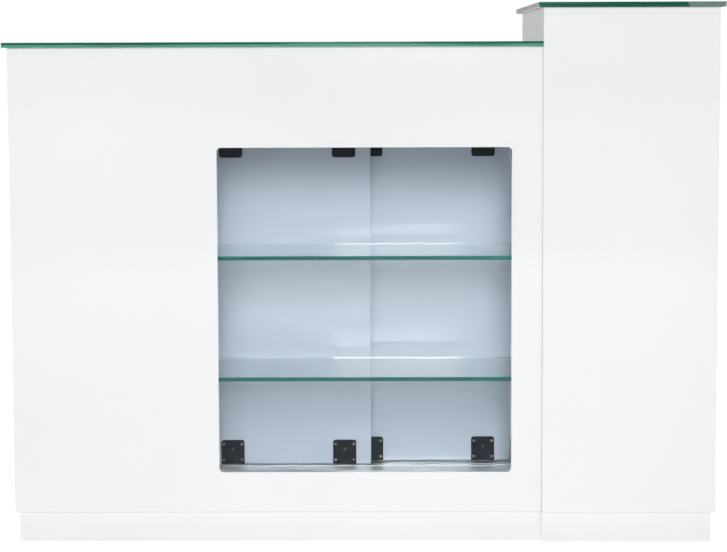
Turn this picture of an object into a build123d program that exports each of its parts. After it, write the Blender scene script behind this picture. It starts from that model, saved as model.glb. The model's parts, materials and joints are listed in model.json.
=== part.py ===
from build123d import *
import os

# Checkout counter: a long display unit and a taller till unit, side by side.
# Millimetres. X runs along the counter, -Y faces the customer, +Z is up.
# The origin is on the floor, below the centre of the counter's box.

# Overall sizes
LENGTH = 1400.0            # over both glass tops
DEPTH = 600.0              # front edge of the tall glass to the back edges
HEIGHT = 1060.0            # floor to the top of the tall glass
OVERHANG = 10.0            # glass past the boards, at the front and the ends

# Sheet materials
BOARD = 18.0
THIN_BOARD = 12.0
TOP_GLASS = 10.0
SHELF_GLASS = 8.0
WINDOW_GLASS = 5.0
EDGE = 0.8                 # softened edge of boards and glass
PAST = 1.0                 # how far a cut reaches past the face it starts from

# Long display unit
LOW_X0 = -LENGTH / 2 + OVERHANG
SEAM_X = 350.0             # where the two units meet
LOW_TOP = 975.0            # top of the boards, under the glass
LOW_FRONT = -DEPTH / 2 + 2 * OVERHANG
BACK = 250.0               # rear edge of every board
PLINTH = 60.0
PLINTH_SET_BACK = 8.0
REAR_TOE_SPACE = 40.0
FLOOR_Z = PLINTH + BOARD   # top of the bottom panels
INNER_FRONT = LOW_FRONT + BOARD

# Till unit
TALL_X1 = LENGTH / 2 - OVERHANG
TALL_TOP = HEIGHT - TOP_GLASS
TALL_FRONT = LOW_FRONT - OVERHANG

# Display window and bay
WINDOW = (-285.0, 290.0, 140.0, 780.0)     # x0, x1, z0, z1
WINDOW_CORNER = 8.0
GLASS_LAP = 14.0           # window glass behind the panel, past the opening
BEAD = 8.0                 # bead past the glass
BEAD_DEPTH = 6.0           # bead behind the glass
BAY_X0 = -344.0
BAY_X1 = 314.0
BAY_TOP = 804.0
SHELF_FRONT = -250.0
SHELF_DEPTH = 250.0
SHELF_TOPS = (323.5, 564.5)
SHELF_EDGE = 0.6

# Sliding doors
DOOR_WIDTH = 355.0
DOOR_THICK = 16.0
DOOR_Z = (81.0, 794.0)
DOOR_END_GAP = 2.0
DOOR_EDGE = 0.5
DOOR_FRONTS = (70.0, 104.0)
WHEEL_SET_BACK = 6.0       # wheel and guide pin centre, behind the door's front
LANE_Y = tuple(front + WHEEL_SET_BACK for front in DOOR_FRONTS)
PLATE = (50.0, 52.0, 2.5)  # roller and guide plates: width, height, thickness
PLATE_FROM_EDGE = 57.0     # plate centre to the door's edge
PLATE_LIFT = 0.5           # housing past the door's lower edge
PLATE_CORNER = 6.0
PLATE_BEVEL = 0.6
POCKET = (30.0, 26.0, 13.0)  # for each roller: width, height, depth into the door
POCKET_GAP = 0.3           # housing to the pocket's walls
WHEEL_R = 10.0
WHEEL_WIDTH = 5.0
WHEEL_EDGE = 0.8
WHEEL_SLOT = (1.0, 0.4)    # room round the wheel: radial, each side
WEB_R = (3.2, 8.0)         # recess in each face of a wheel: inner and outer radius
WEB_DEPTH = 0.6
TREAD_GAP = 0.3            # wheel above the bottom of its channel
AXLE_R = 1.5
AXLE_LENGTH = 10.0
AXLE_FIT = 0.02            # axle bore in the housing, past the axle's radius
AXLE_END_GAP = 0.1         # and past each of its ends
RUNNING_GAP = 0.05
FLANGE = (32.0, 6.0, 1.5)  # top guide's flange: width, length past the pin, thickness
PIN_R = 2.8
PIN_HEIGHT = 6.0           # guide pin above its flange
PIN_ROOT = 0.5             # guide pin into its flange

# Screws in the roller and guide plates
SCREW_INSET = (5.5, 9.0)   # screw centre to the plate's side and end edges
SCREW_R = 1.6
SCREW_LENGTH = 9.0
SCREW_HOLE_R = 1.8
SCREW_HOLE_DEPTH = 7.0     # in the door
HEAD_R = (3.0, 1.8)        # at the plate, at its top
HEAD_HEIGHT = 1.0
CROSS = (1.4, 0.3)         # half length and half width of each arm
CROSS_DEPTH = 0.5

# Finger pulls
PULL_Z = 430.0
PULL_R = 17.0
PULL_WALL = 1.2
PULL_DEPTH = 10.0
PULL_BOTTOM_GAP = 0.5      # behind the cup
PULL_FLANGE_R = 20.0
PULL_ROUND = 0.5
PULL_FROM_EDGE = 45.0

# Tracks
TRACK_Y = (62.0, 124.0)
TRACK_THICK = 5.5
TRACK_PROUD = 0.5
CHANNEL = (7.4, 4.0)       # width, depth
TOP_TRACK_THICK = 8.0
TOP_CHANNEL_DEPTH = 6.0

# Drawers
DRAWER_Z0 = BAY_TOP + BOARD
DRAWER_Z1 = LOW_TOP - BOARD
FRONT_GAP = 3.0            # round an inset front or door
BOX_WALL = 12.0
BOX_BOTTOM = 5.0
BOX_SIDE_GAP = 2.0
BOX_Z = (836.0, 934.0)
BOX_FRONT = -190.0
BATTEN = (8.0, 12.0)       # how far it stands out of the wall, height
GROOVE_GAP = 0.5
BATTEN_Z = 880.0
BATTEN_PAST_BOX = 20.0     # past the box at its far end, and short of the drawer front
KNOB_R = 12.0
KNOB_DEPTH = 22.0
KNOB_STEM_R = 5.5
KNOB_NECK_R = 4.5
KNOB_STEPS = (6.0, 9.0, 16.0)  # stem's end, neck, widest part: distance from the front
KNOB_ROUND = 3.0
WIDE_KNOB_SPREAD = 200.0   # each knob of the wide drawer to its middle

# Shelves on pins
PIN_HOLE_DEPTH = 8.0
SHELF_PIN_R = 2.5
SHELF_PIN_OUT = 9.0
GLASS_PIN_INSET = 40.0     # from the glass shelves' front and back edges
SHELF_PIN_FRONT_Y = -200.0
LEFT_SHELF_Z = 440.0
LEFT_SHELF_BACK = 40.0     # board shelf's set back from the rear edges
LEFT_PIN_BACK_Y = 180.0
TALL_SHELF_Z = 560.0
TALL_SHELF_BACK = 50.0
TALL_PIN_BACK_Y = 170.0
SHELF_FRONT_GAP = 10.0     # board shelves behind the front panels
SHELF_END_GAP = 1.0

# Cupboard door and its hinges
HINGE_Z = (180.0, 928.0)   # centre of each hinge
HINGE_HEIGHT = 60.0
LEAF = 1.2
LEAF_WIDTH = 18.0
KNUCKLE_R = 3.0
HINGE_PIN_R = 1.5
KNUCKLES = 5
KNUCKLE_GAP = 0.3
HINGE_X = TALL_X1 - BOARD - FRONT_GAP / 2
HINGE_Y = BACK + KNUCKLE_R + KNUCKLE_GAP
HINGE_PIN_PAST = 0.5       # past the leaves, at each end
HINGE_PIN_GAP = 0.1        # under the pin's head
HINGE_PIN_HEAD = (2.6, 1.2)  # radius, thickness
CUPBOARD_KNOB = (45.0, 620.0)  # from the cupboard's left wall, above the floor


def block(x0, x1, y0, y1, z0, z1):
    size = Box(x1 - x0, y1 - y0, z1 - z0)
    return Pos((x0 + x1) / 2, (y0 + y1) / 2, (z0 + z1) / 2) * size


def rod(radius, length, x, y, z, axis):
    """A cylinder centred on a point, along X, Y or Z."""
    turn = {"X": Rot(0, 90, 0), "Y": Rot(90, 0, 0), "Z": Rot(0, 0, 0)}[axis]
    return Pos(x, y, z) * turn * Cylinder(radius, length)


def softened(solid, radius=EDGE):
    return chamfer(solid.edges(), radius)


def save(name, *solids):
    shape = solids[0] if len(solids) == 1 else Compound(children=list(solids))
    export_step(shape, os.path.join("parts", name + ".step"))


def front_panel():
    """The customer's front of the display unit, with its window."""
    panel = softened(block(LOW_X0, SEAM_X, LOW_FRONT, INNER_FRONT, PLINTH, LOW_TOP))
    x0, x1, z0, z1 = WINDOW
    outline = RectangleRounded(x1 - x0, z1 - z0, WINDOW_CORNER)
    middle = Pos((x0 + x1) / 2, INNER_FRONT + PAST, (z0 + z1) / 2)
    hole = extrude(middle * Rot(90, 0, 0) * outline, BOARD + 2 * PAST)
    return panel - hole


def window_pane():
    x0, x1, z0, z1 = WINDOW
    lap = GLASS_LAP
    return block(x0 - lap, x1 + lap, INNER_FRONT, INNER_FRONT + WINDOW_GLASS, z0 - lap, z1 + lap)


def window_beads():
    """Four L-shaped strips that hold the pane to the back of the panel."""
    x0, x1, z0, z1 = WINDOW
    x0, x1, z0, z1 = x0 - GLASS_LAP, x1 + GLASS_LAP, z0 - GLASS_LAP, z1 + GLASS_LAP
    glass_back = INNER_FRONT + WINDOW_GLASS
    back = glass_back + BEAD_DEPTH
    strips = []
    for low, high, inner in ((z0 - BEAD, z0, z0 + BEAD), (z1, z1 + BEAD, z1 - BEAD)):
        foot = block(x0 - BEAD, x1 + BEAD, INNER_FRONT, back, low, high)
        lip = block(x0 - BEAD, x1 + BEAD, glass_back, back, min(low, inner), max(high, inner))
        strips.append(foot + lip)
    for low, high, inner in ((x0 - BEAD, x0, x0 + BEAD), (x1, x1 + BEAD, x1 - BEAD)):
        foot = block(low, high, INNER_FRONT, back, z0, z1)
        ends = block(min(low, inner), max(high, inner), glass_back, back, z0 + BEAD, z1 - BEAD)
        strips.append(foot + ends)
    return strips


def shelf_pin(wall_x, side, y, z):
    """A pin half in a wall and half under a shelf; side is +1 to the right of the wall."""
    length = PIN_HOLE_DEPTH + SHELF_PIN_OUT
    middle = wall_x + side * (SHELF_PIN_OUT - PIN_HOLE_DEPTH) / 2
    return rod(SHELF_PIN_R, length, middle, y, z, "X")


def pins_under(x0, x1, front, back, underside):
    z = underside - SHELF_PIN_R
    places = ((x0, 1, front), (x0, 1, back), (x1, -1, front), (x1, -1, back))
    return [shelf_pin(wall, side, y, z) for wall, side, y in places]


def all_shelf_pins():
    pins = []
    for top in SHELF_TOPS:
        y0, y1 = SHELF_FRONT + GLASS_PIN_INSET, SHELF_FRONT + SHELF_DEPTH - GLASS_PIN_INSET
        pins += pins_under(BAY_X0, BAY_X1, y0, y1, top - SHELF_GLASS)
    pins += pins_under(LOW_X0 + BOARD, BAY_X0 - BOARD, SHELF_PIN_FRONT_Y, LEFT_PIN_BACK_Y,
                       LEFT_SHELF_Z - BOARD)
    pins += pins_under(SEAM_X + BOARD, TALL_X1 - BOARD, SHELF_PIN_FRONT_Y, TALL_PIN_BACK_Y,
                       TALL_SHELF_Z - BOARD)
    return pins


def with_pin_holes(board):
    for pin in all_shelf_pins():
        board = board - pin
    return board


def door_x(index):
    """Left edge of a closed sliding door; 0 is the left door, in the front lane."""
    return BAY_X0 + DOOR_END_GAP if index == 0 else BAY_X1 - DOOR_END_GAP - DOOR_WIDTH


def plate_places(index):
    left = door_x(index)
    return left + PLATE_FROM_EDGE, left + DOOR_WIDTH - PLATE_FROM_EDGE


def pull_x(index):
    left = door_x(index)
    return left + PULL_FROM_EDGE if index == 0 else left + DOOR_WIDTH - PULL_FROM_EDGE


def wheel_z():
    return FLOOR_Z + TRACK_PROUD - CHANNEL[1] + TREAD_GAP + WHEEL_R


def sliding_door(index):
    x = door_x(index)
    front = DOOR_FRONTS[index]
    back = front + DOOR_THICK
    door = softened(block(x, x + DOOR_WIDTH, front, back, *DOOR_Z), DOOR_EDGE)
    width, height, depth = POCKET
    for middle in plate_places(index):
        door = door - block(middle - width / 2, middle + width / 2, front - PAST, front + depth,
                            DOOR_Z[0] - PAST, DOOR_Z[0] + height)
    return door - rod(PULL_R, 2 * (PULL_DEPTH + PULL_BOTTOM_GAP), pull_x(index), back, PULL_Z, "Y")


def finger_pull(index):
    """A shallow cup set in the staff side of a door, with a thin rim."""
    x = pull_x(index)
    back = DOOR_FRONTS[index] + DOOR_THICK
    cup = rod(PULL_R, PULL_DEPTH, x, back - PULL_DEPTH / 2, PULL_Z, "Y")
    rim = rod(PULL_FLANGE_R, PULL_WALL, x, back + PULL_WALL / 2, PULL_Z, "Y")
    hollow = rod(PULL_R - PULL_WALL, 2 * PULL_DEPTH, x, back + PULL_WALL, PULL_Z, "Y")
    return fillet((cup + rim - hollow).edges().group_by(Axis.Y)[-1], PULL_ROUND)


def plate(x, front, z0, rounded_edge):
    """A thin plate on a door's customer side, with two rounded corners."""
    width, height, thick = PLATE
    body = block(x - width / 2, x + width / 2, front - thick, front, z0, z0 + height)
    upright = body.edges().filter_by(Axis.Y)
    corners = upright.sort_by(Axis.Z)[-2:] if rounded_edge == "top" else upright.sort_by(Axis.Z)[:2]
    body = fillet(corners, PLATE_CORNER)
    face = body.faces().sort_by(Axis.Y)[0]
    return chamfer(face.edges(), PLATE_BEVEL)


def screw_places(x, z0):
    width, height, _ = PLATE
    from_side, from_end = SCREW_INSET
    for dx in (-1, 1):
        for z in (z0 + from_end, z0 + height - from_end):
            yield x + dx * (width / 2 - from_side), z


def roller_plate_z():
    return DOOR_Z[0] - PLATE_LIFT


def guide_plate_z():
    return DOOR_Z[1] - PLATE[1]


def without_screw_holes(body, x, front, z0):
    for sx, sz in screw_places(x, z0):
        body = body - rod(SCREW_HOLE_R, SCREW_LENGTH, sx, front, sz, "Y")
    return body


def roller_housing(x, index):
    """Plate, block in the door's pocket, slot for the wheel and bore for its axle."""
    front = DOOR_FRONTS[index]
    z0 = roller_plate_z()
    width, height, depth = POCKET
    half = width / 2 - POCKET_GAP
    body = plate(x, front, z0, "top")
    body = body + block(x - half, x + half, front, front + depth - POCKET_GAP,
                        z0, z0 + height - 2 * PLATE_LIFT)
    lane = LANE_Y[index]
    radial, sideways = WHEEL_SLOT
    body = body - rod(WHEEL_R + radial, WHEEL_WIDTH + 2 * sideways, x, lane, wheel_z(), "Y")
    body = body - rod(AXLE_R + AXLE_FIT, AXLE_LENGTH + 2 * AXLE_END_GAP, x, lane, wheel_z(), "Y")
    return without_screw_holes(body, x, front, z0)


def top_guide(x, index):
    """Plate with a flange over the door's top edge and a pin up into the track."""
    front = DOOR_FRONTS[index]
    lane = LANE_Y[index]
    z0 = guide_plate_z()
    width, past_pin, thick = FLANGE
    flange_top = DOOR_Z[1] + thick
    body = plate(x, front, z0, "bottom")
    body = body + block(x - width / 2, x + width / 2, front - PLATE[2], lane + past_pin,
                        DOOR_Z[1], flange_top)
    middle = flange_top + (PIN_HEIGHT - PIN_ROOT) / 2
    body = body + rod(PIN_R, PIN_HEIGHT + PIN_ROOT, x, lane, middle, "Z")
    return without_screw_holes(body, x, front, z0)


def screw(x, front, z):
    """A pan screw: a low tapered head with a cross slot, and a plain shank."""
    seat = front - PLATE[2]
    head = Pos(x, seat - HEAD_HEIGHT / 2, z) * Rot(90, 0, 0) * Cone(*HEAD_R, HEAD_HEIGHT)
    shank = rod(SCREW_R, SCREW_LENGTH, x, seat + SCREW_LENGTH / 2, z, "Y")
    top, bottom = seat - HEAD_HEIGHT - PAST, seat - HEAD_HEIGHT + CROSS_DEPTH
    long, narrow = CROSS
    cross = block(x - long, x + long, top, bottom, z - narrow, z + narrow)
    bar = block(x - narrow, x + narrow, top, bottom, z - long, z + long)
    return head + shank - cross - bar


def plate_screws(index):
    """Short screws that stop inside the door: four to each plate."""
    front = DOOR_FRONTS[index]
    return [screw(sx, front, sz)
            for x in plate_places(index)
            for z0 in (roller_plate_z(), guide_plate_z())
            for sx, sz in screw_places(x, z0)]


def drilled_door(index):
    door = sliding_door(index)
    front = DOOR_FRONTS[index]
    for x in plate_places(index):
        for z0 in (roller_plate_z(), guide_plate_z()):
            for sx, sz in screw_places(x, z0):
                door = door - rod(SCREW_R, 2 * SCREW_HOLE_DEPTH, sx, front, sz, "Y")
    return door


def wheel(x, index):
    """A nylon wheel with a shallow recess in each face and a running bore."""
    y, z = LANE_Y[index], wheel_z()
    hub, web = WEB_R
    body = fillet(rod(WHEEL_R, WHEEL_WIDTH, x, y, z, "Y").edges(), WHEEL_EDGE)
    for face in (y - WHEEL_WIDTH / 2, y + WHEEL_WIDTH / 2):
        recess = rod(web, 2 * WEB_DEPTH, x, face, z, "Y")
        body = body - (recess - rod(hub, 3 * WEB_DEPTH, x, face, z, "Y"))
    return body - rod(AXLE_R + RUNNING_GAP, WHEEL_WIDTH + 2 * PAST, x, y, z, "Y")


def axle(x, index):
    return rod(AXLE_R, AXLE_LENGTH, x, LANE_Y[index], wheel_z(), "Y")


def bottom_track():
    """Aluminium strip let into the bay floor, with a channel for each door."""
    top = FLOOR_Z + TRACK_PROUD
    strip = block(BAY_X0, BAY_X1, *TRACK_Y, top - TRACK_THICK, top)
    width, depth = CHANNEL
    for lane in LANE_Y:
        strip = strip - block(BAY_X0 - PAST, BAY_X1 + PAST, lane - width / 2, lane + width / 2,
                              top - depth, top + PAST)
    return strip


def top_track():
    """Aluminium strip under the bay ceiling, with a channel for each door's guides."""
    low = BAY_TOP - TOP_TRACK_THICK
    strip = block(BAY_X0, BAY_X1, *TRACK_Y, low, BAY_TOP)
    width = CHANNEL[0]
    for lane in LANE_Y:
        strip = strip - block(BAY_X0 - PAST, BAY_X1 + PAST, lane - width / 2, lane + width / 2,
                              low - PAST, low + TOP_CHANNEL_DEPTH)
    return strip


def drawer_box(x0, x1):
    """Two grooved sides, a front and back wall, and a bottom: five boards."""
    x0, x1 = x0 + BOX_SIDE_GAP, x1 - BOX_SIDE_GAP
    y0, y1 = BOX_FRONT, BACK - BOARD
    z0, z1 = BOX_Z
    groove_depth = BATTEN[0] - BOX_SIDE_GAP + GROOVE_GAP
    groove_half = BATTEN[1] / 2 + GROOVE_GAP
    groove = (y0 - PAST, y1 + PAST, BATTEN_Z - groove_half, BATTEN_Z + groove_half)
    left = block(x0, x0 + BOX_WALL, y0, y1, z0, z1) - block(x0 - PAST, x0 + groove_depth, *groove)
    right = block(x1 - BOX_WALL, x1, y0, y1, z0, z1) - block(x1 - groove_depth, x1 + PAST, *groove)
    inner = (x0 + BOX_WALL, x1 - BOX_WALL)
    far = block(*inner, y0, y0 + BOX_WALL, z0, z1)
    near = block(*inner, y1 - BOX_WALL, y1, z0, z1)
    bottom = block(*inner, y0 + BOX_WALL, y1 - BOX_WALL, z0, z0 + BOX_BOTTOM)
    return [left, right, far, near, bottom]


def battens(x0, x1):
    """Hardwood strips on the walls that the drawer's grooves run on."""
    out, height = BATTEN
    zs = (BATTEN_Z - height / 2, BATTEN_Z + height / 2)
    ys = (BOX_FRONT - BATTEN_PAST_BOX, BACK - BOARD - BATTEN_PAST_BOX)
    return [block(x0, x0 + out, *ys, *zs), block(x1 - out, x1, *ys, *zs)]


def inset_front(x0, x1, z0, z1):
    gap = FRONT_GAP
    return softened(block(x0 + gap, x1 - gap, BACK - BOARD, BACK, z0 + gap, z1 - gap))


def knob(x, z):
    """A turned knob: a short stem and a wide head."""
    stem, neck, widest = KNOB_STEPS
    profile = Polyline((0, 0), (KNOB_STEM_R, 0), (KNOB_STEM_R, stem), (KNOB_NECK_R, neck),
                       (KNOB_R, widest), (KNOB_R, KNOB_DEPTH - KNOB_ROUND),
                       (KNOB_R - KNOB_ROUND, KNOB_DEPTH), (0, KNOB_DEPTH), close=True)
    turned = revolve(Plane.XZ * make_face(profile), Axis.Z)
    return Pos(x, BACK, z) * Rot(-90, 0, 0) * turned


def hinge_leaf(z, side):
    """One leaf and its knuckles; side -1 is the door's leaf and +1 the frame's."""
    z0 = z - HINGE_HEIGHT / 2
    half_gap = FRONT_GAP / 2
    outer = HINGE_X + side * half_gap
    inner = outer - side * LEAF
    low, high = min(outer, inner), max(outer, inner)
    leaf = block(low, high, BACK - LEAF_WIDTH, BACK, z0, z0 + HINGE_HEIGHT)
    pitch = HINGE_HEIGHT / KNUCKLES
    for index in range(KNUCKLES):
        if (index % 2 == 0) != (side == 1):
            continue
        base = z0 + index * pitch + KNUCKLE_GAP / 2
        length = pitch - KNUCKLE_GAP
        middle = base + length / 2
        leaf = leaf + block(low, high, BACK - LEAF, HINGE_Y, base, base + length)
        leaf = leaf + rod(KNUCKLE_R, length, HINGE_X, HINGE_Y, middle, "Z")
    return leaf - rod(HINGE_PIN_R + RUNNING_GAP, HINGE_HEIGHT + 2 * PAST, HINGE_X, HINGE_Y, z, "Z")


def hinge_pin(z):
    pin = rod(HINGE_PIN_R, HINGE_HEIGHT + 2 * HINGE_PIN_PAST, HINGE_X, HINGE_Y, z, "Z")
    radius, thick = HINGE_PIN_HEAD
    base = z + HINGE_HEIGHT / 2 + HINGE_PIN_GAP
    return pin + rod(radius, thick, HINGE_X, HINGE_Y, base + thick / 2, "Z")


def plinth(x0, x1, front):
    """Front, back and end boards of the recessed plinth."""
    back = BACK - REAR_TOE_SPACE
    face = block(x0, x1, front, front + BOARD, 0, PLINTH)
    rear = block(x0, x1, back - BOARD, back, 0, PLINTH)
    ends = [block(x, x + BOARD, front + BOARD, back - BOARD, 0, PLINTH) for x in (x0, x1 - BOARD)]
    return face, rear, ends


def build_display_unit():
    left, right = LOW_X0 + BOARD, SEAM_X - BOARD
    divider = (BAY_X0 - BOARD, BAY_X0)
    save("low_front_panel", front_panel())
    side = block(LOW_X0, left, INNER_FRONT, BACK, PLINTH, LOW_TOP)
    save("low_left_side", with_pin_holes(side))
    save("low_right_side", block(right, SEAM_X, INNER_FRONT, BACK, PLINTH, LOW_TOP))
    floor = block(left, right, INNER_FRONT, BACK, PLINTH, FLOOR_Z)
    rebate = block(BAY_X0, BAY_X1, *TRACK_Y, FLOOR_Z + TRACK_PROUD - TRACK_THICK, FLOOR_Z + PAST)
    save("low_bottom_panel", floor - rebate)
    save("low_top_panel", block(left, right, INNER_FRONT, BACK, DRAWER_Z1, LOW_TOP))
    wall = block(*divider, INNER_FRONT, BACK, FLOOR_Z, DRAWER_Z1)
    save("bay_divider", with_pin_holes(wall))
    save("left_bay_deck", block(left, divider[0], INNER_FRONT, BACK, BAY_TOP, DRAWER_Z0))
    save("display_ceiling", block(BAY_X0, right, INNER_FRONT, BACK, BAY_TOP, DRAWER_Z0))
    lining = block(BAY_X1, right, INNER_FRONT, BACK, FLOOR_Z, BAY_TOP)
    save("display_right_lining", with_pin_holes(lining))
    front, rear, ends = plinth(LOW_X0 + PLINTH_SET_BACK, SEAM_X, LOW_FRONT + PLINTH_SET_BACK)
    save("low_plinth_front", front)
    save("low_plinth_back", rear)
    save("low_plinth_ends", *ends)
    glass = block(LOW_X0 - OVERHANG, SEAM_X, LOW_FRONT - OVERHANG, DEPTH / 2,
                  LOW_TOP, LOW_TOP + TOP_GLASS)
    save("low_glass_top", softened(glass))
    shelf = block(left + SHELF_END_GAP, divider[0] - SHELF_END_GAP, INNER_FRONT + SHELF_FRONT_GAP,
                  BACK - LEFT_SHELF_BACK, LEFT_SHELF_Z - BOARD, LEFT_SHELF_Z)
    save("left_bay_shelf", shelf)


def build_window_and_shelves():
    save("window_glass", window_pane())
    save("window_beads", *window_beads())
    for name, top in zip(("lower_glass_shelf", "upper_glass_shelf"), SHELF_TOPS):
        shelf = block(BAY_X0 + SHELF_END_GAP, BAY_X1 - SHELF_END_GAP,
                      SHELF_FRONT, SHELF_FRONT + SHELF_DEPTH, top - SHELF_GLASS, top)
        save(name, softened(shelf, SHELF_EDGE))
    save("shelf_pins", *all_shelf_pins())


def build_sliding_doors():
    for index, side in enumerate(("left", "right")):
        places = plate_places(index)
        save(f"{side}_sliding_door", drilled_door(index))
        save(f"{side}_door_finger_pull", finger_pull(index))
        save(f"{side}_door_roller_housings", *[roller_housing(x, index) for x in places])
        save(f"{side}_door_top_guides", *[top_guide(x, index) for x in places])
        save(f"{side}_door_axles", *[axle(x, index) for x in places])
        save(f"{side}_door_screws", *plate_screws(index))
        for letter, x in zip("ab", places):
            save(f"{side}_door_wheel_{letter}", wheel(x, index))
    save("bottom_track", bottom_track())
    save("top_track", top_track())


def build_drawers():
    bays = {"small": (LOW_X0 + BOARD, BAY_X0 - BOARD), "wide": (BAY_X0, SEAM_X - BOARD)}
    for name, (x0, x1) in bays.items():
        middle, z = (x0 + x1) / 2, (DRAWER_Z0 + DRAWER_Z1) / 2
        save(f"{name}_drawer_front", inset_front(x0, x1, DRAWER_Z0, DRAWER_Z1))
        save(f"{name}_drawer_box", *drawer_box(x0, x1))
        save(f"{name}_drawer_battens", *battens(x0, x1))
        if name == "small":
            save("small_drawer_knob", knob(middle, z))
        else:
            save("wide_drawer_knobs", *[knob(middle + side * WIDE_KNOB_SPREAD, z) for side in (-1, 1)])


def build_till_unit():
    left, right = SEAM_X + BOARD, TALL_X1 - BOARD
    top = TALL_TOP - THIN_BOARD
    inner = TALL_FRONT + BOARD
    save("tall_front_panel", softened(block(SEAM_X, TALL_X1, TALL_FRONT, inner, PLINTH, top)))
    side = block(SEAM_X, left, inner, BACK, PLINTH, top)
    save("tall_left_side", with_pin_holes(side))
    side = block(right, TALL_X1, inner, BACK, PLINTH, top)
    save("tall_right_side", with_pin_holes(side))
    save("tall_bottom_panel", block(left, right, inner, BACK, PLINTH, FLOOR_Z))
    save("tall_top_board", softened(block(SEAM_X, TALL_X1, TALL_FRONT, BACK, top, TALL_TOP)))
    front, rear, ends = plinth(SEAM_X, TALL_X1 - PLINTH_SET_BACK, TALL_FRONT + PLINTH_SET_BACK)
    save("tall_plinth_front", front)
    save("tall_plinth_back", rear)
    save("tall_plinth_ends", *ends)
    glass = block(SEAM_X - OVERHANG, TALL_X1 + OVERHANG, TALL_FRONT - OVERHANG, DEPTH / 2,
                  TALL_TOP, HEIGHT)
    save("tall_glass_top", softened(glass))
    shelf = block(left + SHELF_END_GAP, right - SHELF_END_GAP, inner + SHELF_FRONT_GAP,
                  BACK - TALL_SHELF_BACK, TALL_SHELF_Z - BOARD, TALL_SHELF_Z)
    save("tall_shelf", shelf)
    save("cupboard_door", inset_front(left, right, FLOOR_Z, top))
    from_wall, height = CUPBOARD_KNOB
    save("cupboard_knob", knob(left + from_wall, height))
    save("hinge_frame_leaves", *[hinge_leaf(z, 1) for z in HINGE_Z])
    save("hinge_door_leaves", *[hinge_leaf(z, -1) for z in HINGE_Z])
    save("hinge_pins", *[hinge_pin(z) for z in HINGE_Z])


os.makedirs("parts", exist_ok=True)
build_display_unit()
build_window_and_shelves()
build_sliding_doors()
build_drawers()
build_till_unit()
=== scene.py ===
import bpy
import bmesh
import json
import math
from mathutils import Euler, Matrix, Vector

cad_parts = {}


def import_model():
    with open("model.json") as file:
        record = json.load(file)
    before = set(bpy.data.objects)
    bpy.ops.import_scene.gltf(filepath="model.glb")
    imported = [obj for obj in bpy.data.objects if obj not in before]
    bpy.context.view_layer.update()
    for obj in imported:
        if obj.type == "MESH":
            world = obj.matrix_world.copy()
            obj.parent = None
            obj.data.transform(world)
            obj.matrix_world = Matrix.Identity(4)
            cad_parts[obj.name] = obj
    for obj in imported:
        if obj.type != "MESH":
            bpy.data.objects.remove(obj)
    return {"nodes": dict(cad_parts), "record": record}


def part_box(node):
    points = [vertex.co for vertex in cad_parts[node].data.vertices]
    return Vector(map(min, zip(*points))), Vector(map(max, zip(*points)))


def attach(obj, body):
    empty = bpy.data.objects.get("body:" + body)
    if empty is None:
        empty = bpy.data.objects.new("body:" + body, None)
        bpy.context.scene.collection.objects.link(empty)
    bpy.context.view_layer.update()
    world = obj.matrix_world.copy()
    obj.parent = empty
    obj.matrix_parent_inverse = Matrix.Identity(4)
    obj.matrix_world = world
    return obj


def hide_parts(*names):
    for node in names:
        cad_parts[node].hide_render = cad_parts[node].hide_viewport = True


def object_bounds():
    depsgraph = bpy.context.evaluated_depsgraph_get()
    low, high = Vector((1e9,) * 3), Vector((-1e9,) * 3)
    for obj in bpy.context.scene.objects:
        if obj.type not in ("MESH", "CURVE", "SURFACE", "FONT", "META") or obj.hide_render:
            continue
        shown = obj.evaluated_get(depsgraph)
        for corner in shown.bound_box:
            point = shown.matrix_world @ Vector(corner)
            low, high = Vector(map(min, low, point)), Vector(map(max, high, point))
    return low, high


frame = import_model()
cad_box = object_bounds()
joints = {entry["name"]: entry for entry in frame["record"]["behaviour"]["joints"]}

MM = 0.001
UP = (0, 0, 1)
scene = bpy.context.scene
scene.view_settings.view_transform = "Standard"
scene.view_settings.look = "None"

# ---------------------------------------------------------------- materials

# Painted shade: the near-black that metal is painted above a given height, where it sits in shadow.
PAINTED_SHADE_BLACK = (0.012, 0.013, 0.014)
PASSED_AT_GLANCE = 0.45      # share of a lamp's light that glass passes at a glancing angle


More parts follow.
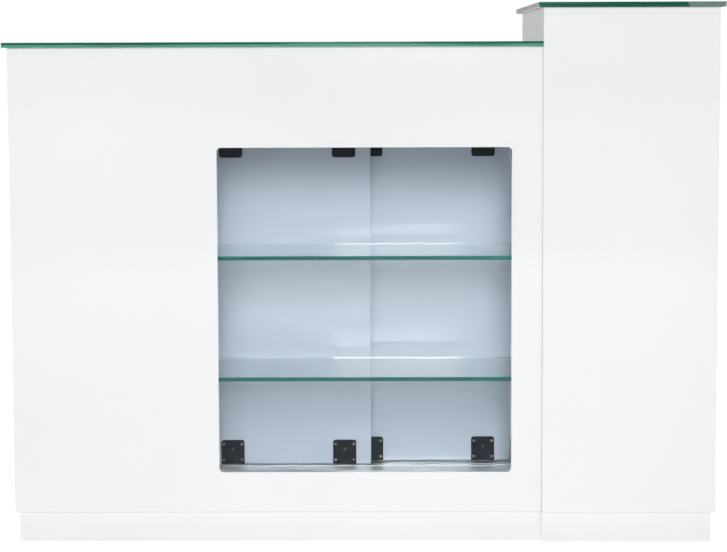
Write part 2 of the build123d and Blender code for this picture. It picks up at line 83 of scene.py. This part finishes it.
class Graph:
    """A node material with one Principled shader, built up by short calls."""

    def __init__(self, name, colour, roughness, **plain):
        self.material = bpy.data.materials.new(name)
        self.material.use_nodes = True
        self.tree = self.material.node_tree
        self.shader = self.tree.nodes["Principled BSDF"]
        self.shader.inputs["Base Color"].default_value = (*colour, 1)
        self.shader.inputs["Roughness"].default_value = roughness
        for label, value in plain.items():
            self.shader.inputs[label.replace("_", " ")].default_value = value
        self.place = self.tree.nodes.new("ShaderNodeTexCoord").outputs["Object"]

    def node(self, kind, **settings):
        made = self.tree.nodes.new(kind)
        for key, value in settings.items():
            setattr(made, key, value)
        return made

    def link(self, source, target):
        self.tree.links.new(source, target)

    def stretched(self, scale):
        mapping = self.node("ShaderNodeMapping")
        mapping.inputs["Scale"].default_value = scale
        self.link(self.place, mapping.inputs["Vector"])
        return mapping.outputs["Vector"]

    def noise(self, scale, detail=4.0, rough=0.5, vector=None, distortion=0.0):
        made = self.node("ShaderNodeTexNoise")
        made.inputs["Scale"].default_value = scale
        made.inputs["Detail"].default_value = detail
        made.inputs["Roughness"].default_value = rough
        made.inputs["Distortion"].default_value = distortion
        self.link(vector or self.place, made.inputs["Vector"])
        return made.outputs["Fac"]

    def along(self, direction):
        """How far a point lies in a direction, from the origin."""
        made = self.node("ShaderNodeVectorMath", operation="DOT_PRODUCT")
        made.inputs[1].default_value = direction
        self.link(self.place, made.inputs[0])
        return made.outputs["Value"]

    def sum(self, first, second, share=1.0):
        """The first value times its share, plus the second."""
        made = self.node("ShaderNodeMath", operation="MULTIPLY_ADD")
        made.inputs[1].default_value = share
        self.link(first, made.inputs[0])
        self.link(second, made.inputs[2])
        return made.outputs["Value"]

    def ramp(self, value, stops):
        made = self.node("ShaderNodeValToRGB")
        elements = made.color_ramp.elements
        while len(elements) < len(stops):
            elements.new(0.5)
        for element, (at, colour) in zip(elements, stops):
            element.position = at
            element.color = (*colour, 1)
        self.link(value, made.inputs["Fac"])
        return made.outputs["Color"]

    def spread(self, value, low, high, start=0.0, end=1.0):
        made = self.node("ShaderNodeMapRange")
        for label, number in (("From Min", start), ("From Max", end),
                              ("To Min", low), ("To Max", high)):
            made.inputs[label].default_value = number
        self.link(value, made.inputs["Value"])
        return made.outputs["Result"]

    def colour(self, value, stops):
        self.link(self.ramp(value, stops), self.shader.inputs["Base Color"])

    def roughness(self, value, low, high, start=0.3, end=0.7):
        self.link(self.spread(value, low, high, start, end), self.shader.inputs["Roughness"])

    def bump(self, value, height, strength, round_edges=0.0):
        made = self.node("ShaderNodeBump")
        made.inputs["Strength"].default_value = strength
        made.inputs["Distance"].default_value = height
        self.link(value, made.inputs["Height"])
        if round_edges:
            edges = self.node("ShaderNodeBevel", samples=4)
            edges.inputs["Radius"].default_value = round_edges
            self.link(edges.outputs["Normal"], made.inputs["Normal"])
        self.link(made.outputs["Normal"], self.shader.inputs["Normal"])

    def clear_to_lamps(self, tint, ior):
        """Let lamps shine through the glass, tinted, and less of them at a glancing angle."""
        clear = self.node("ShaderNodeBsdfTransparent")
        clear.inputs["Color"].default_value = (*tint, 1)
        mirrored = self.node("ShaderNodeFresnel")
        mirrored.inputs["IOR"].default_value = ior
        passed = self.spread(mirrored.outputs["Fac"], 1.0, PASSED_AT_GLANCE)
        rays = self.node("ShaderNodeLightPath")
        share = self.node("ShaderNodeMath", operation="MULTIPLY")
        self.link(rays.outputs["Is Shadow Ray"], share.inputs[0])
        self.link(passed, share.inputs[1])
        mix = self.node("ShaderNodeMixShader")
        self.link(share.outputs["Value"], mix.inputs["Fac"])
        self.link(self.shader.outputs["BSDF"], mix.inputs[1])
        self.link(clear.outputs["BSDF"], mix.inputs[2])
        self.link(mix.outputs["Shader"], self.tree.nodes["Material Output"].inputs["Surface"])


def gloss_board(name, dark, light, rough=(0.05, 0.11), coat=0.5, peel=0.06):
    """High-gloss lacquered board: faint cloudy tone, soft smears and a slight orange peel."""
    g = Graph(name, light, rough[1], Coat_Weight=coat, Coat_Roughness=0.03)
    cloud = g.noise(1.6, 3.0)
    g.colour(cloud, ((0.3, dark), (0.7, light)))
    g.roughness(g.noise(5.0, 6.0, 0.6, distortion=0.6), *rough)
    g.bump(g.noise(260.0, 2.0), 0.03 * MM, peel, round_edges=0.8 * MM)
    return g.material


def melamine():
    """Satin melamine-faced board with a fine pearl texture."""
    g = Graph("melamine", (0.84, 0.85, 0.85), 0.42)
    g.colour(g.noise(2.2, 4.0), ((0.3, (0.815, 0.825, 0.83)), (0.7, (0.85, 0.855, 0.86))))
    g.roughness(g.noise(30.0, 5.0), 0.36, 0.5)
    g.bump(g.noise(1400.0, 3.0, 0.7), 0.08 * MM, 0.25, round_edges=0.6 * MM)
    return g.material


def float_glass(name, colour, tint, ior=1.5):
    """Clear float glass, with a trace of green and a very slight smear."""
    g = Graph(name, colour, 0.02, Transmission_Weight=1.0, IOR=ior)
    g.roughness(g.noise(9.0, 5.0, 0.6, distortion=1.0), 0.0, 0.006, 0.45, 0.75)
    g.clear_to_lamps(tint, ior)
    return g.material


def glass_edge(name, deep, bright, pale, end=None, step=None):
    """Polished edge of float glass: its tone drifts along the edge and across the thickness.

    A step (direction, first, last, amount) lightens it past a place, towards the end colour. This
    is painted light on the edge."""
    g = Graph(name, deep, 0.08, Specular_IOR_Level=0.25)
    drift = g.noise(1.0, 2.0, vector=g.stretched((2.2, 2.2, 30.0)), distortion=0.4)
    streak = g.noise(1.0, 3.0, vector=g.stretched((9.0, 9.0, 420.0)))
    tone = g.sum(streak, g.spread(drift, 0.0, 0.6), 0.45)
    # Painted light: past the step's place, the edge is painted lighter.
    if step:
        direction, first, last, amount = step
        tone = g.sum(g.spread(g.along(direction), 0.0, amount, first, last), tone)
    g.colour(tone, ((0.38, deep), (0.56, bright), (0.74, pale), (0.98, end or pale)))
    g.roughness(streak, 0.05, 0.16)
    g.bump(streak, 0.05 * MM, 0.15)
    return g.material


def moulded_plastic(name, dark, light, rough, grain=1800.0, shine=0.5):
    """Moulded plastic with a fine spark-eroded texture; shine is its specular level."""
    g = Graph(name, light, 0.45, Specular_IOR_Level=shine)
    g.colour(g.noise(35.0, 4.0), ((0.35, dark), (0.7, light)))
    g.roughness(g.noise(120.0, 4.0), *rough)
    g.bump(g.noise(grain, 2.0, 0.6), 0.12 * MM, 0.35, round_edges=0.4 * MM)
    return g.material


def metal(name, dark, light, rough, scale, bump=0.2, painted_shade_above=None):
    """Metal with brush lines; scale stretches the noise along the brushing.

    Above a given height, where one is given, the metal is painted black. This is painted shade, for
    screws that sit in shadow."""
    g = Graph(name, light, rough[1], Metallic=1.0)
    lines = g.noise(1.0, 4.0, 0.6, vector=g.stretched(scale))
    tone, stops = lines, [(0.3, dark), (0.7, light)]
    # Painted shade: above the height, the tone drops to black.
    if painted_shade_above:
        painted_shade_drop = g.spread(g.along(UP), 0.0, -1.0, painted_shade_above - MM, painted_shade_above + MM)
        tone = g.sum(painted_shade_drop, lines)
        stops.insert(0, (0.0, PAINTED_SHADE_BLACK))
    g.colour(tone, stops)
    g.roughness(lines, *rough)
    g.bump(lines, 0.03 * MM, bump, round_edges=0.3 * MM)
    return g.material


def birch():
    """Clear-lacquered birch: long pale grain with darker flecks along the board."""
    g = Graph("birch", (0.7, 0.54, 0.38), 0.35, Coat_Weight=0.25, Coat_Roughness=0.12)
    grain = g.noise(1.0, 6.0, 0.62, vector=g.stretched((38.0, 3.2, 46.0)), distortion=0.9)
    fleck = g.noise(1.0, 3.0, 0.5, vector=g.stretched((420.0, 24.0, 520.0)))
    tone = g.sum(fleck, g.spread(grain, 0.0, 0.75), 0.3)
    g.colour(tone, ((0.30, (0.50, 0.35, 0.21)), (0.50, (0.66, 0.50, 0.33)),
                    (0.72, (0.76, 0.62, 0.45))))
    g.roughness(fleck, 0.3, 0.46)
    g.bump(fleck, 0.08 * MM, 0.3, round_edges=0.5 * MM)
    return g.material


looks = {
    "gloss_white": gloss_board("gloss_white", (0.775, 0.783, 0.797), (0.813, 0.817, 0.827)),
    "carcass_white": melamine(),
    "door_gloss": gloss_board("door_gloss", (0.500, 0.547, 0.637), (0.532, 0.580, 0.668),
                              (0.03, 0.07), coat=0.0),
    "black_plastic": moulded_plastic("black_plastic", (0.002, 0.006, 0.011),
                                     (0.005, 0.011, 0.019), (0.5, 0.62), shine=0.14),
    "nylon": moulded_plastic("nylon", (0.70, 0.70, 0.66), (0.80, 0.80, 0.76), (0.3, 0.42)),
    "bead_plastic": moulded_plastic("bead_plastic", (0.80, 0.81, 0.81), (0.86, 0.865, 0.865),
                                    (0.32, 0.45), grain=900.0),
    # The screws above half the counter's height, on the upper roller plates, are painted black.
    # This is painted shade for the shadow they sit in.
    "dark_steel": metal("black_zinc_steel_with_painted_shade", (0.26, 0.27, 0.28), (0.36, 0.37, 0.38),
                        (0.28, 0.42), (500.0, 500.0, 60.0), painted_shade_above=0.5 * cad_box[1][2]),
    "steel": metal("zinc_steel", (0.50, 0.51, 0.53), (0.68, 0.69, 0.70), (0.25, 0.42),
                   (500.0, 500.0, 60.0)),
    "nickel": metal("satin_nickel", (0.58, 0.56, 0.52), (0.70, 0.68, 0.64), (0.22, 0.34),
                    (700.0, 90.0, 700.0)),
    "aluminium": metal("anodised_aluminium", (0.70, 0.71, 0.73), (0.77, 0.78, 0.80),
                       (0.27, 0.33), (0.02, 700.0, 700.0), bump=0.02),
    "drawer_wood": birch(),
}
clear_glass = float_glass("clear_glass", (0.93, 0.975, 0.96), (0.90, 0.96, 0.94))
pane_glass = float_glass("pane_glass", (0.93, 0.955, 0.955), (0.93, 0.95, 0.95), ior=1.2)
back_edge_glass = float_glass("back_edge_glass", (0.78, 0.94, 0.89), (0.78, 0.94, 0.89))

# Painted light on the glass edges: the low top's edge is painted lighter below a line, and the tall
# one's is painted greyer past a slanting one, as a painted reflection.
DARK_BAND = 4.8 * MM           # from the low top's upper face down to its line
PAINTED_GREY_END = 75 * MM             # from the tall top's right end back to its line
SLANT = (1, 0, 0.6)
low_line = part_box("low_glass_top")[1][2] - DARK_BAND
tall_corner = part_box("tall_glass_top")[1]
tall_line = tall_corner[0] - PAINTED_GREY_END + SLANT[2] * tall_corner[2]
edge_glass = {
    # Painted light: the low edge is painted lighter below its line.
    "low": glass_edge("low_glass_edge", (0.012, 0.085, 0.052), (0.018, 0.115, 0.07),
                      (0.075, 0.29, 0.20), step=((0, 0, -1), -low_line - MM, -low_line, 0.3)),
    # Painted reflection: the tall edge is painted greyer towards its right end.
    "tall": glass_edge("tall_glass_edge", (0.003, 0.065, 0.044), (0.006, 0.09, 0.062),
                       (0.035, 0.15, 0.115), (0.128, 0.20, 0.167),
                       (SLANT, tall_line - MM, tall_line + MM, 0.7)),
    # Painted light: the tall top's left end is painted grey for the light that falls on it, unlike
    # the green of its other edges.
    "tall_left_painted_light": glass_edge("tall_glass_left_edge_painted_light", (0.13, 0.145, 0.14), (0.16, 0.17, 0.165),
                            (0.20, 0.205, 0.20)),
    "shelf": glass_edge("shelf_glass_edge", (0.003, 0.085, 0.070), (0.008, 0.12, 0.10),
                        (0.03, 0.18, 0.155)),
}

# The bay's floor has much the same lacquer as the front, polished smoother.
bay_floor = gloss_board("bay_floor_gloss", (0.765, 0.775, 0.79), (0.805, 0.81, 0.82),
                        (0.015, 0.04), peel=0.01)

# The glass slots have no look here: their nodes are replaced below.
for entry in frame["record"]["subparts"]:
    look = looks.get(entry["material_slot"])
    if entry["node"] == "low_bottom_panel":
        look = bay_floor
    if look:
        materials = frame["nodes"][entry["node"]].data.materials
        materials.clear()
        materials.append(look)

# ------------------------------------------------------------------ pieces


def new_piece(name, shape, *materials):
    """Put a bmesh into the scene as an object with materials, and use the bmesh up."""
    mesh = bpy.data.meshes.new(name)
    shape.to_mesh(mesh)
    shape.free()
    for material in materials:
        mesh.materials.append(material)
    piece = bpy.data.objects.new(name, mesh)
    scene.collection.objects.link(piece)
    return piece


# ------------------------------------------------------------------- glass

LEFT, BACK = Vector((-1, 0, 0)), Vector((0, 1, 0))
FACE, EDGE, OTHER = range(3)       # a sheet's materials, in order
ACROSS = 0.99                      # how nearly the normals of a sheet's flat faces cross it
TOWARDS = 0.2                      # how far the normals of a side, arrises too, turn its way
AIR = 0.4 * MM                     # keeps a glass top clear of the board under it


def glass_slab(name, node, face_look, edge_look, arris, gap_below=0.0, other=None):
    """A glass sheet with ground arrises, clear faces and green edges.

    With other, a (direction, look), the side that faces that direction has its own look."""
    low, high = (Vector(corner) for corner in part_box(node))
    low.z += gap_below
    size = high - low
    shape = bmesh.new()
    bmesh.ops.create_cube(shape, size=1.0)
    for v in shape.verts:
        v.co = low + Vector([(v.co[i] + 0.5) * size[i] for i in range(3)])
    bmesh.ops.bevel(shape, geom=shape.edges[:], offset=arris, segments=2, affect="EDGES",
                    profile=0.5)
    thin = min(range(3), key=lambda i: size[i])
    materials = [face_look, edge_look]
    for face in shape.faces:
        face.material_index = FACE if abs(face.normal[thin]) > ACROSS else EDGE
    if other:
        direction, look = other
        materials.append(look)
        for face in shape.faces:
            if face.normal.dot(direction) > TOWARDS:
                face.material_index = OTHER
    piece = new_piece(name, shape, *materials)
    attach(piece, "carcass")
    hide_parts(node)


glass_slab("low_counter_glass", "low_glass_top", clear_glass, edge_glass["low"],
           arris=0.9 * MM, gap_below=AIR)
glass_slab("tall_counter_glass", "tall_glass_top", clear_glass, edge_glass["tall"],
           arris=0.9 * MM, gap_below=AIR, other=(LEFT, edge_glass["tall_left_painted_light"]))
for level in ("lower", "upper"):
    glass_slab(f"{level}_shelf_glass", f"{level}_glass_shelf", clear_glass,
               edge_glass["shelf"], arris=0.6 * MM, other=(BACK, back_edge_glass))
glass_slab("window_pane", "window_glass", pane_glass, edge_glass["shelf"],
           arris=0.3 * MM)

# ------------------------------------------------------------------ screws

# A head's parts are shares of its radius and height.
CROSS = (0.5, 0.13)                # half length and half width of the recess's arms
DOME = ((1.0, 0.0), (1.0, 0.35), (0.92, 0.68), (0.76, 0.92), (0.6, 1.0))
RECESS = ((1.0, 1.0), (0.8, 0.3))  # the cross's outline at its rim and at its floor
QUARTER = math.pi / 2


def cross_reach(angle):
    """How far a cross recess reaches from its middle at an angle, as a share of the radius."""
    long, narrow = CROSS
    fold = abs((angle + QUARTER / 2) % QUARTER - QUARTER / 2)
    if math.tan(fold) * long <= narrow:
        return long / math.cos(fold)
    return narrow / math.sin(fold)


def screw_heads(name, body, places, facing, radius, height, look, slot):
    """Domed screw heads with cross recesses, joined in one piece."""
    turn = Vector(UP).rotation_difference(Vector(facing))
    # Points round a head: the tip of each arm of the cross, and three before the next arm.
    corner = math.atan2(*reversed(CROSS))
    beside = math.pi / 7
    steps = (-corner, 0.0, corner, beside, QUARTER / 2, QUARTER - beside)
    angles = [quarter * QUARTER + step for quarter in range(4) for step in steps]
    rings = [[(share, up) for _ in angles] for share, up in DOME]
    rings += [[(share * cross_reach(angle), up) for angle in angles] for share, up in RECESS]
    shape = bmesh.new()
    for place in places:
        rows = []
        for ring in rings:
            row = []
            for angle, (share, up) in zip(angles, ring):
                point = Vector((share * radius * math.cos(angle),
                                share * radius * math.sin(angle), up * height))
                row.append(shape.verts.new(Vector(place) + turn @ point))
            rows.append(row)
        for outer, inner in zip(rows, rows[1:]):
            for i in range(len(angles)):
                shape.faces.new((outer[i - 1], outer[i], inner[i], inner[i - 1]))
        shape.faces.new(rows[-1])
        shape.faces.new(list(reversed(rows[0])))
    piece = new_piece(name, shape, look)
    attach(piece, body)


# Each roller plate has one screw near its middle that sets the wheel's height.
HEIGHT_SCREW = (1.6 * MM, 0.5 * MM)        # radius and height of the head
HEIGHT_SCREW_UP = 32 * MM                  # from the plate's foot
for side in ("left", "right"):
    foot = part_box(f"{side}_door_roller_housings")[0]
    wheels = [joints[f"{side}_wheel_{letter}_spin"]["pos_m"] for letter in "ab"]
    places = [(wheel[0], foot[1], foot[2] + HEIGHT_SCREW_UP) for wheel in wheels]
    screw_heads(f"{side}_door_height_screws", f"{side}_door", places, (0, -1, 0), *HEIGHT_SCREW,
                looks["dark_steel"], "dark_steel")

# Three flush screws in each hinge leaf, in the gap that opens with the door.
LEAF_SCREW = (3.0 * MM, 0.2 * MM)          # radius and height of the head
LEAF_SCREW_IN = 8 * MM                     # from the leaf's inner edge
LEAF_SCREW_STEP = 20 * MM                  # from one screw up to the next
HALF_LEAF = 30 * MM                        # half a leaf's height
HALF_GAP = 0.3 * MM                        # from the pins' axis to a leaf
hinge_x = joints["cupboard_hinge"]["pos_m"][0]
low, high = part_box("hinge_frame_leaves")
heights = [middle + step * LEAF_SCREW_STEP
           for middle in (low[2] + HALF_LEAF, high[2] - HALF_LEAF) for step in (-1, 0, 1)]
for name, body, side in (("hinge_frame_screws", "carcass", 1),
                         ("hinge_door_screws", "cupboard_door", -1)):
    places = [(hinge_x + side * HALF_GAP, low[1] + LEAF_SCREW_IN, z) for z in heights]
    screw_heads(name, body, places, (-side, 0, 0), *LEAF_SCREW, looks["steel"], "steel")

# ------------------------------------------------------------ floor and light

FLOOR_HALF = 30.0              # half the floor's side
FLOOR_GLOW = (0.48, 0.86)      # as the counter gets it, and as the camera sees it


def floor():
    """A white studio floor that glows a little."""
    g = Graph("studio_floor", (0.7, 0.7, 0.7), 0.7, Emission_Color=(1, 1, 1, 1))
    g.colour(g.noise(0.8, 3.0), ((0.3, (0.69, 0.69, 0.69)), (0.7, (0.72, 0.72, 0.72))))
    seen = g.node("ShaderNodeLightPath").outputs["Is Camera Ray"]
    g.link(g.spread(seen, *FLOOR_GLOW), g.shader.inputs["Emission Strength"])
    shape = bmesh.new()
    corners = [(x * FLOOR_HALF, y * FLOOR_HALF, 0) for x, y in ((-1, -1), (1, -1), (1, 1), (-1, 1))]
    shape.faces.new([shape.verts.new(corner) for corner in corners])
    piece = new_piece("studio_floor", shape, g.material)


def world(strength, colour):
    """Even light from all round; the backdrop itself reads as plain white."""
    sky = bpy.data.worlds.new("studio")
    sky.use_nodes = True
    scene.world = sky
    tree = sky.node_tree
    light = tree.nodes["Background"]
    light.inputs["Color"].default_value = (*colour, 1)
    light.inputs["Strength"].default_value = strength
    backdrop = tree.nodes.new("ShaderNodeBackground")
    backdrop.inputs["Color"].default_value = (1, 1, 1, 1)
    backdrop.inputs["Strength"].default_value = 1.0
    rays = tree.nodes.new("ShaderNodeLightPath")
    mix = tree.nodes.new("ShaderNodeMixShader")
    tree.links.new(rays.outputs["Is Camera Ray"], mix.inputs["Fac"])
    tree.links.new(light.outputs["Background"], mix.inputs[1])
    tree.links.new(backdrop.outputs["Background"], mix.inputs[2])
    tree.links.new(mix.outputs["Shader"], tree.nodes["World Output"].inputs["Surface"])


def softbox(name, at, target, size, power, mirrored=True, spread=180):
    """A soft lamp; one that isn't mirrored lights the counter but isn't seen in its gloss."""
    lamp = bpy.data.lights.new(name, "AREA")
    lamp.spread = math.radians(spread)
    lamp.shape = "RECTANGLE"
    lamp.size, lamp.size_y = size
    lamp.energy = power
    holder = bpy.data.objects.new(name, lamp)
    scene.collection.objects.link(holder)
    holder.location = at
    holder.rotation_euler = (Vector(target) - Vector(at)).to_track_quat("-Z", "Y").to_euler()
    holder.visible_camera = False
    holder.visible_glossy = mirrored
    holder.visible_transmission = mirrored


floor()
world(0.245, (0.97, 0.98, 1.0))

# Each lamp: where it stands, what it points at, its width and height, and its power in watts.
softbox("key", (0.13, -6.0, 2.3), (0.13, 0.0, 2.3), (0.68, 1.6), 182.0)
softbox("low_strip", (0.13, -6.0, 1.25), (0.13, 0.0, 1.25), (0.68, 0.4), 3.8)
softbox("right_fill", (4.0, -4.5, 1.5), (0.0, 0.0, 0.5), (1.5, 1.5), 10.0, mirrored=False)
softbox("left_fill", (-4.0, -4.5, 1.5), (0.0, 0.0, 0.5), (1.5, 1.5), 14.0, mirrored=False)
softbox("left_side", (-8.0, 0.2, 3.0), (0.0, 0.2, 0.8), (2.5, 2.5), 150.0, mirrored=False)
softbox("back_card", (-0.15, 6.0, 1.1), (-0.15, 0.0, 1.1), (1.0, 0.8), 0.75)
softbox("rear_fill", (-1.5, 4.0, 2.4), (0.0, 0.2, 0.5), (2.5, 1.5), 45.0, mirrored=False)
softbox("overhead", (0.0, 0.0, 2.6), (0.0, 0.0, 1.0), (1.2, 0.4), 3.0, mirrored=False, spread=50)

# ------------------------------------------------------------------ camera

CAMERA_AT = (0.0300, -3.9354, 0.9588)
LOOK_DOWN, TURN, ROLL = 4.279, -0.455, -0.184      # degrees
camera = bpy.data.objects.new("camera", bpy.data.cameras.new("camera"))
scene.collection.objects.link(camera)
camera.data.sensor_width = 36.0
camera.data.lens = 93.15
camera.data.shift_y = -0.11
camera.data.clip_end = 200.0
camera.location = CAMERA_AT
aim = Euler((math.radians(90 - LOOK_DOWN), 0, math.radians(-TURN))).to_matrix()
camera.rotation_euler = (aim @ Matrix.Rotation(math.radians(ROLL), 3, "Z")).to_euler()
scene.camera = camera
